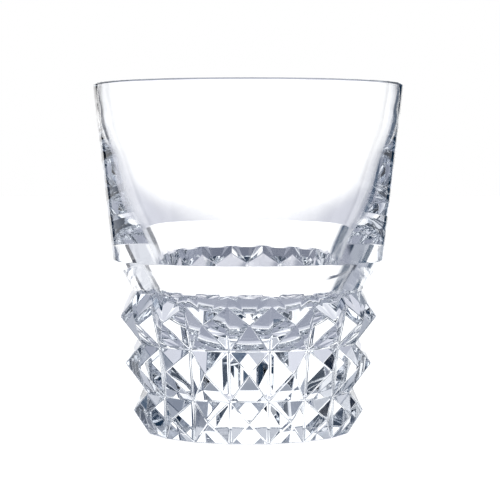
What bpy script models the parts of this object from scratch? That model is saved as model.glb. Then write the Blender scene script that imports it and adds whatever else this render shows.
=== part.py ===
"""A heavy crystal tumbler: one piece of glass.

A thin, slightly flared cup stands on a thick base. The cup turns in sharply under
its foot to a waist, and the base below the waist is cut with three rows of
four-sided pyramid studs. Everything is in metres, +Z up, and the origin is the
middle of the flat base.
"""

import math

import bmesh
import bpy

MM = 0.001

# Overall size
HEIGHT = 96.0 * MM
RIM_RADIUS = 43.0 * MM
LIP_RADIUS = 0.7 * MM

# Cup, outside: a straight wall, a crisp foot and a hollowed underside running in to the waist
FOOT_RADIUS = 37.6 * MM
FOOT_HEIGHT = 47.5 * MM
FOOT_EDGE_ROUND = 0.8 * MM
UNDERSIDE_START = math.radians(40)
UNDERSIDE_END = math.radians(26)
UNDERSIDE_ROUND = 39.0 * MM

# Bowl, inside: a thin wall at the top, then a cone with a slight belly, closed by a round floor
BOWL_CONE_RADIUS = 26.6 * MM
BOWL_CONE_HEIGHT = 43.0 * MM
BOWL_CONE_SLOPE = 0.358
BOWL_BELLY = 0.75 * MM
BOWL_BELLY_TOP = 78.0 * MM
BOWL_BLEND = 1.0 * MM
BOWL_BLEND_DEPTH = 7.0 * MM
BOWL_HEEL = 38.9 * MM
BOWL_FLOOR = 28.0 * MM

# Cut base: rows of studs between rings of groove crossings
COLUMNS = 18
BELT_TOP_RADIUS = 32.1 * MM
BELT_TOP_HEIGHT = 38.8 * MM
GROOVE_END_RADIUS = 33.8 * MM
GROOVE_END_HEIGHT = 36.6 * MM
APEX_RADII = (35.8 * MM, 34.4 * MM, 32.2 * MM)
APEX_HEIGHTS = (32.0 * MM, 19.1 * MM, 6.0 * MM)
CROSSING_RADII = (GROOVE_END_RADIUS, 31.0 * MM, 29.3 * MM, 28.8 * MM)
CROSSING_HEIGHTS = (GROOVE_END_HEIGHT, 24.9 * MM, 11.4 * MM, 0.0)

# Fineness
STEPS_PER_COLUMN = 6
SEGMENTS = COLUMNS * STEPS_PER_COLUMN
WALL_STEPS = 4
FOOT_EDGE_STEPS = 3
UNDERSIDE_STEPS = 5
LIP_STEPS = 8
BOWL_SIDE_STEPS = 12
BOWL_FLOOR_STEPS = 8

GLASS_COLOUR = (0.94, 0.96, 0.98, 1.0)
GLASS_ROUGHNESS = 0.02
GLASS_IOR = 1.54
SHARP_ANGLE = math.radians(25)


def clear_scene():
    for thing in list(bpy.data.objects):
        bpy.data.objects.remove(thing, do_unlink=True)


def glass_material():
    material = bpy.data.materials.new("crystal")
    material.use_nodes = True
    shader = material.node_tree.nodes["Principled BSDF"]
    shader.inputs["Base Color"].default_value = GLASS_COLOUR
    shader.inputs["Roughness"].default_value = GLASS_ROUGHNESS
    shader.inputs["IOR"].default_value = GLASS_IOR
    shader.inputs["Transmission Weight"].default_value = 1.0
    shader.inputs["Metallic"].default_value = 0.0
    return material


def arc(start, heading, turn, radius, steps):
    """Points of an arc that leaves start along heading and turns by turn, to the left when positive.

    A heading is an angle from the +radius axis towards +Z, in the (radius, height) plane.
    """
    side = 1.0 if turn > 0 else -1.0
    centre_angle = heading + side * math.pi / 2
    centre = (start[0] + radius * math.cos(centre_angle), start[1] + radius * math.sin(centre_angle))
    points = []
    for step in range(1, steps + 1):
        angle = centre_angle + math.pi + turn * step / steps
        points.append((centre[0] + radius * math.cos(angle), centre[1] + radius * math.sin(angle)))
    return points


def wall_slope():
    return (RIM_RADIUS - FOOT_RADIUS) / (HEIGHT - LIP_RADIUS - FOOT_HEIGHT)


def outer_profile():
    """(radius, height) from the waist up the underside and the wall to the top of the lip."""
    wall_angle = math.atan(wall_slope())
    setback = FOOT_EDGE_ROUND * math.tan((UNDERSIDE_START - wall_angle) / 2)
    start = (FOOT_RADIUS + setback * math.sin(wall_angle), FOOT_HEIGHT + setback * math.cos(wall_angle))
    down = -math.pi / 2
    edge = arc(start, down - wall_angle, wall_angle - UNDERSIDE_START, FOOT_EDGE_ROUND, FOOT_EDGE_STEPS)
    underside = arc(edge[-1], down - UNDERSIDE_START, UNDERSIDE_START - UNDERSIDE_END,
                    UNDERSIDE_ROUND, UNDERSIDE_STEPS)
    wall = []
    lip_base = HEIGHT - LIP_RADIUS
    for step in range(1, WALL_STEPS + 1):
        share = step / WALL_STEPS
        wall.append((start[0] + (RIM_RADIUS - start[0]) * share, start[1] + (lip_base - start[1]) * share))
    return underside[::-1] + edge[::-1] + [start] + wall


def lip_profile():
    """Half a turn over the rim, from the outside to the inside."""
    middle = RIM_RADIUS - LIP_RADIUS
    base = HEIGHT - LIP_RADIUS
    points = []
    for step in range(1, LIP_STEPS):
        angle = math.pi * step / LIP_STEPS
        points.append((middle + LIP_RADIUS * math.cos(angle), base + LIP_RADIUS * math.sin(angle)))
    return points


def bowl_radius(height):
    """Radius of the hollow: the smaller of the thin wall's line and the cone, blended where they meet."""
    top = HEIGHT - LIP_RADIUS
    thin_wall = RIM_RADIUS - 2 * LIP_RADIUS - wall_slope() * (top - height)
    cone = BOWL_CONE_RADIUS + BOWL_CONE_SLOPE * (height - BOWL_CONE_HEIGHT)
    if BOWL_HEEL < height < BOWL_BELLY_TOP:
        share = (height - BOWL_HEEL) / (BOWL_BELLY_TOP - BOWL_HEEL)
        cone += BOWL_BELLY * math.sin(math.pi * share) ** 2
    blend = BOWL_BLEND * min(1.0, (top - height) / BOWL_BLEND_DEPTH)
    radius = (thin_wall + cone) / 2 - math.hypot((thin_wall - cone) / 2, blend)
    if height < BOWL_HEEL:
        closing = (BOWL_HEEL - height) / (BOWL_HEEL - BOWL_FLOOR)
        radius *= math.sqrt(max(0.0, 1.0 - closing ** 2))
    return radius


def bowl_profile():
    """From the inside of the lip down to just before the middle of the floor."""
    top = HEIGHT - LIP_RADIUS
    heights = []
    for step in range(BOWL_SIDE_STEPS):
        heights.append(top - (top - BOWL_HEEL) * step / BOWL_SIDE_STEPS)
    for step in range(BOWL_FLOOR_STEPS):
        turn = math.pi / 2 * step / BOWL_FLOOR_STEPS
        heights.append(BOWL_HEEL - (BOWL_HEEL - BOWL_FLOOR) * math.sin(turn))
    return [(bowl_radius(height), height) for height in heights]


def add_ring(mesh, radius, height):
    ring = []
    for step in range(SEGMENTS):
        angle = 2 * math.pi * step / SEGMENTS
        ring.append(mesh.verts.new((radius * math.cos(angle), radius * math.sin(angle), height)))
    return ring


def add_band(mesh, lower, upper):
    count = len(lower)
    for i in range(count):
        j = (i + 1) % count
        mesh.faces.new((lower[i], lower[j], upper[j], upper[i]))


def add_chord_ring(mesh, middle_radius, height):
    """A ring whose points lie on the sides of an 18-sided polygon, with corners between the columns."""
    half = math.pi / COLUMNS
    ring = []
    for step in range(SEGMENTS):
        angle = 2 * math.pi * step / SEGMENTS
        from_corner = (angle + half) % (2 * half) - half
        radius = middle_radius / math.cos(half - abs(from_corner))
        ring.append(mesh.verts.new((radius * math.cos(angle), radius * math.sin(angle), height)))
    return ring


def add_studs(mesh, top_ring):
    """The three rows of pyramids. Crossings sit at the corners of the top ring, apexes between them."""
    crossings = []
    for radius, height in zip(CROSSING_RADII, CROSSING_HEIGHTS):
        row = []
        for column in range(COLUMNS):
            angle = 2 * math.pi * column / COLUMNS
            row.append(mesh.verts.new((radius * math.cos(angle), radius * math.sin(angle), height)))
        crossings.append(row)
    for row, (radius, height) in enumerate(zip(APEX_RADII, APEX_HEIGHTS)):
        for column in range(COLUMNS):
            following = (column + 1) % COLUMNS
            angle = 2 * math.pi * (column + 0.5) / COLUMNS
            apex = mesh.verts.new((radius * math.cos(angle), radius * math.sin(angle), height))
            top_left = crossings[row][column]
            top_right = crossings[row][following]
            low_left = crossings[row + 1][column]
            low_right = crossings[row + 1][following]
            mesh.faces.new((top_left, low_left, apex))
            mesh.faces.new((low_left, low_right, apex))
            mesh.faces.new((low_right, top_right, apex))
            if row == 0:
                first = column * STEPS_PER_COLUMN
                edge = [top_ring[(first + step) % SEGMENTS] for step in range(STEPS_PER_COLUMN + 1)]
                mesh.faces.new([top_left, apex, top_right] + edge[::-1])
            else:
                mesh.faces.new((top_left, apex, top_right))
    return crossings[-1]


def build_tumbler(material):
    mesh = bmesh.new()
    belt_top = add_chord_ring(mesh, BELT_TOP_RADIUS, BELT_TOP_HEIGHT)
    base_edge = add_studs(mesh, belt_top)
    mesh.faces.new(base_edge[::-1])
    previous = belt_top
    for radius, height in outer_profile() + lip_profile() + bowl_profile():
        ring = add_ring(mesh, radius, height)
        add_band(mesh, previous, ring)
        previous = ring
    floor = mesh.verts.new((0.0, 0.0, BOWL_FLOOR))
    for i in range(SEGMENTS):
        mesh.faces.new((previous[i], previous[(i + 1) % SEGMENTS], floor))
    bmesh.ops.recalc_face_normals(mesh, faces=mesh.faces)
    data = bpy.data.meshes.new("tumbler_glass")
    mesh.to_mesh(data)
    mesh.free()
    data.materials.append(material)
    data.shade_smooth()
    data.set_sharp_from_angle(angle=SHARP_ANGLE)
    tumbler = bpy.data.objects.new("tumbler_glass", data)
    bpy.context.scene.collection.objects.link(tumbler)
    return tumbler


clear_scene()
build_tumbler(glass_material())
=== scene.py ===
"""The look of the crystal tumbler: one piece of cut glass on a pale floor in a bright-field studio.

The glass is built again, finer than the CAD: with more steps round it and along its
profile, and with every cut edge of the studs rounded over the way polished cut glass is.
All lengths are in metres, in the CAD's frame: +Z up and the origin in the middle of the
flat base.
"""

import math

import bmesh
import bpy
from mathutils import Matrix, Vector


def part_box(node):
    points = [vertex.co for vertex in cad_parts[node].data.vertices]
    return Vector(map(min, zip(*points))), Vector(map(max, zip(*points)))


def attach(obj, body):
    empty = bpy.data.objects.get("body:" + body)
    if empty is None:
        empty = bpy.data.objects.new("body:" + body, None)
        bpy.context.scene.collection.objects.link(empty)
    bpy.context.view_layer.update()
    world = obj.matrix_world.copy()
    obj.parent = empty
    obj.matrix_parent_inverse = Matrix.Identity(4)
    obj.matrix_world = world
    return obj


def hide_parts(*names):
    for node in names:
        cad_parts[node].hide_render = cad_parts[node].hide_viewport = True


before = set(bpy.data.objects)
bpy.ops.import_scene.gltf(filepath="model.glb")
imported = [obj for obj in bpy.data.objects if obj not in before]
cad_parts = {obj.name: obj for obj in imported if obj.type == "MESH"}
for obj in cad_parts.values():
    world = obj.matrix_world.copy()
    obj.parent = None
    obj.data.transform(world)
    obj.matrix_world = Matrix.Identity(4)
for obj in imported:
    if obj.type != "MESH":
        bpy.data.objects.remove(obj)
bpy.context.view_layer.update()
GLASS_LOW, GLASS_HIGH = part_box("tumbler_glass")

MM = 0.001

# Overall size, from the CAD's box, and the roundness of the lip
HEIGHT = GLASS_HIGH[2] - GLASS_LOW[2]
RIM_RADIUS = (GLASS_HIGH[0] - GLASS_LOW[0]) / 2
LIP_RADIUS = 0.7 * MM

# Cup, outside: a straight wall, a crisp foot and a hollowed underside running in to the waist
FOOT_RADIUS = 37.6 * MM
FOOT_HEIGHT = 47.5 * MM
FOOT_EDGE_ROUND = 0.8 * MM
UNDERSIDE_START = math.radians(40)
UNDERSIDE_END = math.radians(26)
UNDERSIDE_ROUND = 39.0 * MM

# Bowl, inside: a thin wall at the top, then a cone with a slight belly, closed by a round floor
BOWL_CONE_RADIUS = 26.6 * MM
BOWL_CONE_HEIGHT = 43.0 * MM
BOWL_CONE_SLOPE = 0.358
BOWL_BELLY = 0.75 * MM
BOWL_BELLY_TOP = 78.0 * MM
BOWL_BLEND = 1.0 * MM
BOWL_BLEND_DEPTH = 7.0 * MM
BOWL_HEEL = 38.9 * MM
BOWL_FLOOR = 28.0 * MM

# Cut base: rows of studs between rings of groove crossings
COLUMNS = 18
BELT_TOP_RADIUS = 32.1 * MM
BELT_TOP_HEIGHT = 38.8 * MM
APEX_RADII = (35.8 * MM, 34.4 * MM, 32.2 * MM)
APEX_HEIGHTS = (32.0 * MM, 19.1 * MM, 6.0 * MM)
CROSSING_RADII = (33.8 * MM, 31.0 * MM, 29.3 * MM, 28.8 * MM)
CROSSING_HEIGHTS = (36.6 * MM, 24.9 * MM, 11.4 * MM, 0.0)

# Rounding of the cuts: its width on the upright grooves, and the share of that width on the ridges
# of the studs, the grooves across, the belt's upright edges and the edge of the base
GROOVE_ROUND = 0.55 * MM
RIDGE_SHARE = 0.45
ACROSS_SHARE = 0.5
BELT_SHARE = 0.4
BASE_SHARE = 0.5
ROUND_SEGMENTS = 4

# Fineness
STEPS_PER_COLUMN = 16
SEGMENTS = COLUMNS * STEPS_PER_COLUMN
WALL_STEPS = 10
FOOT_EDGE_STEPS = 6
UNDERSIDE_STEPS = 12
LIP_STEPS = 12
BOWL_SIDE_STEPS = 34
BOWL_FLOOR_STEPS = 22
SHARP_ANGLE = math.radians(25)

# Glass
GLASS_IOR = 1.54
WAVE_LENGTH = 9.0 * MM
WAVE_HEIGHT = 0.02 * MM
WAVE_DETAIL = 1.0
DEPTH_COLOUR = (0.80, 0.90, 1.0, 1.0)
DEPTH_DENSITY = 4.0

# Camera: how far from the glass, how far round it and beside its axis, how high, and how far it
# looks down. The lens and the sensor are in millimetres, as Blender takes them.
CAMERA_DISTANCE = 500.3 * MM
CAMERA_TURN = math.radians(0.6)
CAMERA_SIDEWAYS = 0.5 * MM
CAMERA_HEIGHT = 75.45 * MM
CAMERA_PITCH = math.radians(2.913)
CAMERA_LENS = 129.6
CAMERA_SENSOR = 36.0
CAMERA_CLIP_START = 0.01

# Floor: how far it reaches each way, how far it stays under the glass, and its look
FLOOR_HALF = 3.0
FLOOR_GAP = 0.05 * MM
FLOOR_COLOUR = (0.9, 0.9, 0.9, 1.0)
FLOOR_ROUGHNESS = 0.9
FLOOR_GLOW_COLOUR = (1.0, 1.0, 1.0, 1.0)
FLOOR_GLOW = 0.85

# How often light may bounce, so that the facets deep in the base don't turn black
GLASS_BOUNCES = 24
MIRROR_BOUNCES = 16

# Studio round the glass: what the camera sees past it, and the dark room that the glass bends
BACKDROP_COLOUR = (1.0, 1.0, 1.0)
ROOM_COLOUR = (0.012, 0.03, 0.06)

# Panels in that room, with their angles in degrees: name, azimuth (0 straight behind the glass, 90
# towards +X), elevation, half width, half height, softness of the sides, softness of the top and
# bottom edges, colour. A later panel stands in front of an earlier one. A half width over 180 goes
# all the way round.
ALL_ROUND = 200
PANELS = (
    ("ceiling", 0, 90, ALL_ROUND, 45, 6, 6, (0.34, 0.36, 0.41)),
    ("back_wall", 3, 5, 54, 35, 3, 3, (0.42, 0.45, 0.52)),
    ("table", 0, -90, ALL_ROUND, 66, 4, 4, (0.35, 0.37, 0.45)),
    ("window", -2.5, 3, 24.5, 25, 3, 12, (1.4, 1.4, 1.4)),
    ("side_left", -49, -1, 14, 11, 3, 4, (0.85, 0.87, 0.92)),
    ("side_right", 43, -3, 9, 11, 3, 4, (0.45, 0.48, 0.56)),
    ("table_near", -5, -25, 27, 7, 6, 8, (0.76, 0.77, 0.85)),
    ("table_left", -48, -26, 16, 12, 5, 6, (0.72, 0.74, 0.80)),
    ("window_top", 0, 39, 45, 5, 4, 4, (0.70, 0.72, 0.78)),
    ("bar_top", 16, 29, 18, 4, 3, 3, (0.26, 0.29, 0.36)),
    ("flag_top", 24, 20, 9, 6, 3, 3, (0.05, 0.07, 0.12)),
    ("table_shade", -162, -51, 96, 15, 3, 3, (0.19, 0.205, 0.265)),
    ("low_left", -88, -12, 27, 17, 3, 4, (1.0, 1.01, 1.05)),
    ("softbox_left", -139, 28, 13, 25, 6, 6, (1.15, 1.15, 1.17)),
    ("softbox_right", 139, 50, 34, 16, 6, 6, (1.5, 1.5, 1.52)),
    ("low_right", 136, -17, 16, 12, 5, 5, (0.72, 0.74, 0.79)),
    ("gap_right", 64, 26, 10, 24, 3, 3, (0.01, 0.02, 0.04)),
    ("gap_left", -30.5, -5, 3.5, 13, 2, 4, (0.01, 0.015, 0.03)),
    ("strip_front", 178, -39, 2, 21, 2, 2, (1.5, 1.5, 1.5)),
    ("card_right", 28, -5, 4.5, 12, 2, 4, (0.02, 0.06, 0.12)),
    ("card_low", 33, -26, 4, 9, 3, 3, (0.09, 0.13, 0.20)),
)


def arc(start, heading, turn, radius, steps):
    """Points of an arc that leaves start along heading and turns by turn, to the left when positive."""
    side = 1.0 if turn > 0 else -1.0
    centre_angle = heading + side * math.pi / 2
    centre = (start[0] + radius * math.cos(centre_angle), start[1] + radius * math.sin(centre_angle))
    points = []
    for step in range(1, steps + 1):
        angle = centre_angle + math.pi + turn * step / steps
        points.append((centre[0] + radius * math.cos(angle), centre[1] + radius * math.sin(angle)))
    return points


def wall_slope():
    return (RIM_RADIUS - FOOT_RADIUS) / (HEIGHT - LIP_RADIUS - FOOT_HEIGHT)


def outer_profile():
    """(radius, height) from the waist up the underside and the wall to the outside of the lip."""
    wall_angle = math.atan(wall_slope())
    setback = FOOT_EDGE_ROUND * math.tan((UNDERSIDE_START - wall_angle) / 2)
    start = (FOOT_RADIUS + setback * math.sin(wall_angle), FOOT_HEIGHT + setback * math.cos(wall_angle))
    down = -math.pi / 2
    edge = arc(start, down - wall_angle, wall_angle - UNDERSIDE_START, FOOT_EDGE_ROUND, FOOT_EDGE_STEPS)
    underside = arc(edge[-1], down - UNDERSIDE_START, UNDERSIDE_START - UNDERSIDE_END,
                    UNDERSIDE_ROUND, UNDERSIDE_STEPS)
    wall = []
    lip_base = HEIGHT - LIP_RADIUS
    for step in range(1, WALL_STEPS + 1):
        share = step / WALL_STEPS
        wall.append((start[0] + (RIM_RADIUS - start[0]) * share, start[1] + (lip_base - start[1]) * share))
    return underside[::-1] + edge[::-1] + [start] + wall


def lip_profile():
    """Half a turn over the rim, from the outside to the inside."""
    middle = RIM_RADIUS - LIP_RADIUS
    base = HEIGHT - LIP_RADIUS
    points = []
    for step in range(1, LIP_STEPS):
        angle = math.pi * step / LIP_STEPS
        points.append((middle + LIP_RADIUS * math.cos(angle), base + LIP_RADIUS * math.sin(angle)))
    return points


def bowl_radius(height):
    """Radius of the hollow: the smaller of the thin wall's line and the cone, blended where they meet."""
    top = HEIGHT - LIP_RADIUS
    thin_wall = RIM_RADIUS - 2 * LIP_RADIUS - wall_slope() * (top - height)
    cone = BOWL_CONE_RADIUS + BOWL_CONE_SLOPE * (height - BOWL_CONE_HEIGHT)
    if BOWL_HEEL < height < BOWL_BELLY_TOP:
        share = (height - BOWL_HEEL) / (BOWL_BELLY_TOP - BOWL_HEEL)
        cone += BOWL_BELLY * math.sin(math.pi * share) ** 2
    blend = BOWL_BLEND * min(1.0, (top - height) / BOWL_BLEND_DEPTH)
    radius = (thin_wall + cone) / 2 - math.hypot((thin_wall - cone) / 2, blend)
    if height < BOWL_HEEL:
        closing = (BOWL_HEEL - height) / (BOWL_HEEL - BOWL_FLOOR)
        radius *= math.sqrt(max(0.0, 1.0 - closing ** 2))
    return radius


def bowl_profile():
    """From the inside of the lip down to just before the middle of the floor."""
    top = HEIGHT - LIP_RADIUS
    heights = []
    for step in range(BOWL_SIDE_STEPS):
        heights.append(top - (top - BOWL_HEEL) * step / BOWL_SIDE_STEPS)
    for step in range(BOWL_FLOOR_STEPS):
        turn = math.pi / 2 * step / BOWL_FLOOR_STEPS
        heights.append(BOWL_HEEL - (BOWL_HEEL - BOWL_FLOOR) * math.sin(turn))
    return [(bowl_radius(height), height) for height in heights]


def on_circle(mesh, radius, angle, height):
    return mesh.verts.new((radius * math.cos(angle), radius * math.sin(angle), height))


def add_ring(mesh, radius, height):
    return [on_circle(mesh, radius, 2 * math.pi * step / SEGMENTS, height) for step in range(SEGMENTS)]


def add_band(mesh, lower, upper):
    count = len(lower)
    for i in range(count):
        j = (i + 1) % count
        mesh.faces.new((lower[i], lower[j], upper[j], upper[i]))


def add_chord_ring(mesh, middle_radius, height):
    """A ring whose points lie on the sides of an 18-sided polygon, with corners between the columns."""
    half = math.pi / COLUMNS
    ring = []
    for step in range(SEGMENTS):
        angle = 2 * math.pi * step / SEGMENTS
        from_corner = (angle + half) % (2 * half) - half
        ring.append(on_circle(mesh, middle_radius / math.cos(half - abs(from_corner)), angle, height))
    return ring


def add_studs(mesh, top_ring, rounding):
    """The three rows of pyramids, with a rounding weight on every ridge, groove and base edge."""
    crossings = []
    for radius, height in zip(CROSSING_RADII, CROSSING_HEIGHTS):
        angles = [2 * math.pi * column / COLUMNS for column in range(COLUMNS)]
        crossings.append([on_circle(mesh, radius, angle, height) for angle in angles])
    for row, (radius, height) in enumerate(zip(APEX_RADII, APEX_HEIGHTS)):
        for column in range(COLUMNS):
            following = (column + 1) % COLUMNS
            apex = on_circle(mesh, radius, 2 * math.pi * (column + 0.5) / COLUMNS, height)
            top_left = crossings[row][column]
            top_right = crossings[row][following]
            low_left = crossings[row + 1][column]
            low_right = crossings[row + 1][following]
            mesh.faces.new((top_left, low_left, apex))
            mesh.faces.new((low_left, low_right, apex))
            mesh.faces.new((low_right, top_right, apex))
            if row == 0:
                first = column * STEPS_PER_COLUMN
                edge = [top_ring[(first + step) % SEGMENTS] for step in range(STEPS_PER_COLUMN + 1)]
                mesh.faces.new([top_left, apex, top_right] + edge[::-1])
            else:
                mesh.faces.new((top_left, apex, top_right))
            for corner in (top_left, top_right, low_left, low_right):
                mesh.edges.get((apex, corner))[rounding] = RIDGE_SHARE
    last = len(crossings) - 1
    for column in range(COLUMNS):
        following = (column + 1) % COLUMNS
        for row in range(last):
            mesh.edges.get((crossings[row][column], crossings[row + 1][column]))[rounding] = 1.0
            across = mesh.edges.get((crossings[row + 1][column], crossings[row + 1][following]))
            across[rounding] = ACROSS_SHARE if row + 1 < last else BASE_SHARE
        belt_corner = top_ring[column * STEPS_PER_COLUMN]
        mesh.edges.get((crossings[0][column], belt_corner))[rounding] = BELT_SHARE
    return crossings[-1]


def build_glass(material):
    """One closed mesh: the cut base, then rings from the belt up over the rim and down the bowl."""
    mesh = bmesh.new()
    rounding = mesh.edges.layers.float.new("bevel_weight_edge")
    belt_top = add_chord_ring(mesh, BELT_TOP_RADIUS, BELT_TOP_HEIGHT)
    base_edge = add_studs(mesh, belt_top, rounding)
    mesh.faces.new(base_edge[::-1])
    previous = belt_top
    for radius, height in outer_profile() + lip_profile() + bowl_profile():
        ring = add_ring(mesh, radius, height)
        add_band(mesh, previous, ring)
        previous = ring
    floor = mesh.verts.new((0.0, 0.0, BOWL_FLOOR))
    for i in range(SEGMENTS):
        mesh.faces.new((previous[i], previous[(i + 1) % SEGMENTS], floor))
    bmesh.ops.recalc_face_normals(mesh, faces=mesh.faces)
    data = bpy.data.meshes.new("crystal_tumbler")
    mesh.to_mesh(data)
    mesh.free()
    data.materials.append(material)
    data.shade_smooth()
    tumbler = bpy.data.objects.new("crystal_tumbler", data)
    bpy.context.scene.collection.objects.link(tumbler)
    bevel = tumbler.modifiers.new("polished_edges", "BEVEL")
    bevel.limit_method = "WEIGHT"
    bevel.width = GROOVE_ROUND
    bevel.segments = ROUND_SEGMENTS
    bevel.use_clamp_overlap = True
    data.set_sharp_from_angle(angle=SHARP_ANGLE)
    return tumbler


def crystal_material():
    """Clear crystal: faintly steel-blue in its depth, with the slight waves that polishing leaves."""
    material = bpy.data.materials.new("crystal_polished")
    material.use_nodes = True
    tree = material.node_tree
    shader = tree.nodes["Principled BSDF"]
    shader.inputs["Base Color"].default_value = (1.0, 1.0, 1.0, 1.0)
    shader.inputs["Roughness"].default_value = 0.0
    shader.inputs["IOR"].default_value = GLASS_IOR
    shader.inputs["Transmission Weight"].default_value = 1.0
    coordinates = tree.nodes.new("ShaderNodeTexCoord")
    waves = tree.nodes.new("ShaderNodeTexNoise")
    waves.inputs["Scale"].default_value = 1 / WAVE_LENGTH
    waves.inputs["Detail"].default_value = WAVE_DETAIL
    tree.links.new(coordinates.outputs["Object"], waves.inputs["Vector"])
    bump = tree.nodes.new("ShaderNodeBump")
    bump.inputs["Distance"].default_value = WAVE_HEIGHT
    tree.links.new(waves.outputs["Fac"], bump.inputs["Height"])
    tree.links.new(bump.outputs["Normal"], shader.inputs["Normal"])
    depth = tree.nodes.new("ShaderNodeVolumeAbsorption")
    depth.inputs["Color"].default_value = DEPTH_COLOUR
    depth.inputs["Density"].default_value = DEPTH_DENSITY
    tree.links.new(depth.outputs["Volume"], tree.nodes["Material Output"].inputs["Volume"])
    return material


def build_floor():
    """A pale floor to stand on. The glass bends the studio's table panels in its place."""
    data = bpy.data.meshes.new("studio_floor")
    corners = [(FLOOR_HALF * x, FLOOR_HALF * y, 0.0) for x, y in ((-1, -1), (1, -1), (1, 1), (-1, 1))]
    data.from_pydata(corners, [], [(0, 1, 2, 3)])
    floor = bpy.data.objects.new("studio_floor", data)
    floor.location.z = GLASS_LOW[2] - FLOOR_GAP
    bpy.context.scene.collection.objects.link(floor)
    material = bpy.data.materials.new("pale_floor")
    material.use_nodes = True
    shader = material.node_tree.nodes["Principled BSDF"]
    shader.inputs["Base Color"].default_value = FLOOR_COLOUR
    shader.inputs["Roughness"].default_value = FLOOR_ROUGHNESS
    shader.inputs["Emission Color"].default_value = FLOOR_GLOW_COLOUR
    shader.inputs["Emission Strength"].default_value = FLOOR_GLOW
    data.materials.append(material)
    floor.visible_transmission = False
    floor.visible_glossy = False


def build_camera():
    data = bpy.data.cameras.new("photo_camera")
    data.lens = CAMERA_LENS
    data.sensor_width = CAMERA_SENSOR
    data.clip_start = CAMERA_CLIP_START
    camera = bpy.data.objects.new("photo_camera", data)
    sin, cos = math.sin(CAMERA_TURN), math.cos(CAMERA_TURN)
    camera.location = (-CAMERA_DISTANCE * sin + CAMERA_SIDEWAYS * cos,
                       -CAMERA_DISTANCE * cos - CAMERA_SIDEWAYS * sin, CAMERA_HEIGHT)
    camera.rotation_euler = (math.pi / 2 - CAMERA_PITCH, 0.0, -CAMERA_TURN)
    bpy.context.scene.collection.objects.link(camera)
    bpy.context.scene.camera = camera


def maths(tree, operation, *values):
    node = tree.nodes.new("ShaderNodeMath")
    node.operation = operation
    for socket, value in zip(node.inputs, values):
        if isinstance(value, bpy.types.NodeSocket):
            tree.links.new(value, socket)
        else:
            socket.default_value = value
    return node.outputs[0]


def soft_inside(tree, distance, half, softness):
    """1 where distance is within half and 0 past it, with a smooth fall across softness between them.

    The distance is in radians, half and softness in degrees, and the fall is centred on half.
    """
    node = tree.nodes.new("ShaderNodeMapRange")
    node.interpolation_type = "SMOOTHSTEP"
    tree.links.new(distance, node.inputs["Value"])
    node.inputs["From Min"].default_value = math.radians(half + softness / 2)
    node.inputs["From Max"].default_value = math.radians(half - softness / 2)
    return node.outputs["Result"]


def mixed(tree, share, first, second):
    node = tree.nodes.new("ShaderNodeMix")
    node.data_type = "RGBA"
    tree.links.new(share, node.inputs["Factor"])
    for name, colour in (("A_Color", first), ("B_Color", second)):
        socket = next(s for s in node.inputs if s.identifier == name)
        if isinstance(colour, bpy.types.NodeSocket):
            tree.links.new(colour, socket)
        else:
            socket.default_value = (*colour, 1.0)
    return next(s for s in node.outputs if s.identifier == "Result_Color")


def build_world():
    """A dark room with panels for the glass to bend. Past the glass the camera sees plain white."""
    world = bpy.data.worlds.new("studio")
    world.use_nodes = True
    bpy.context.scene.world = world
    tree = world.node_tree
    coordinates = tree.nodes.new("ShaderNodeTexCoord")
    split = tree.nodes.new("ShaderNodeSeparateXYZ")
    tree.links.new(coordinates.outputs["Generated"], split.inputs[0])
    azimuth = maths(tree, "ARCTAN2", split.outputs["X"], split.outputs["Y"])
    elevation = maths(tree, "ARCSINE", split.outputs["Z"])
    room = ROOM_COLOUR
    for name, across, up, half_width, half_height, side_softness, edge_softness, colour in PANELS:
        turned = maths(tree, "SUBTRACT", azimuth, math.radians(across))
        turned = maths(tree, "WRAP", turned, math.pi, -math.pi)
        beside = soft_inside(tree, maths(tree, "ABSOLUTE", turned), half_width, side_softness)
        raised = maths(tree, "ABSOLUTE", maths(tree, "SUBTRACT", elevation, math.radians(up)))
        share = maths(tree, "MULTIPLY", beside, soft_inside(tree, raised, half_height, edge_softness))
        share.node.label = name
        room = mixed(tree, share, room, colour)
    path = tree.nodes.new("ShaderNodeLightPath")
    seen = mixed(tree, path.outputs["Is Camera Ray"], room, BACKDROP_COLOUR)
    tree.links.new(seen, tree.nodes["Background"].inputs["Color"])


glass = build_glass(crystal_material())
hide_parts("tumbler_glass")
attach(glass, "root")
build_floor()
build_camera()
build_world()
bpy.context.scene.view_settings.view_transform = "Standard"
bpy.context.scene.cycles.max_bounces = GLASS_BOUNCES
bpy.context.scene.cycles.transmission_bounces = GLASS_BOUNCES
bpy.context.scene.cycles.glossy_bounces = MIRROR_BOUNCES

bpy.context.view_layer.update()
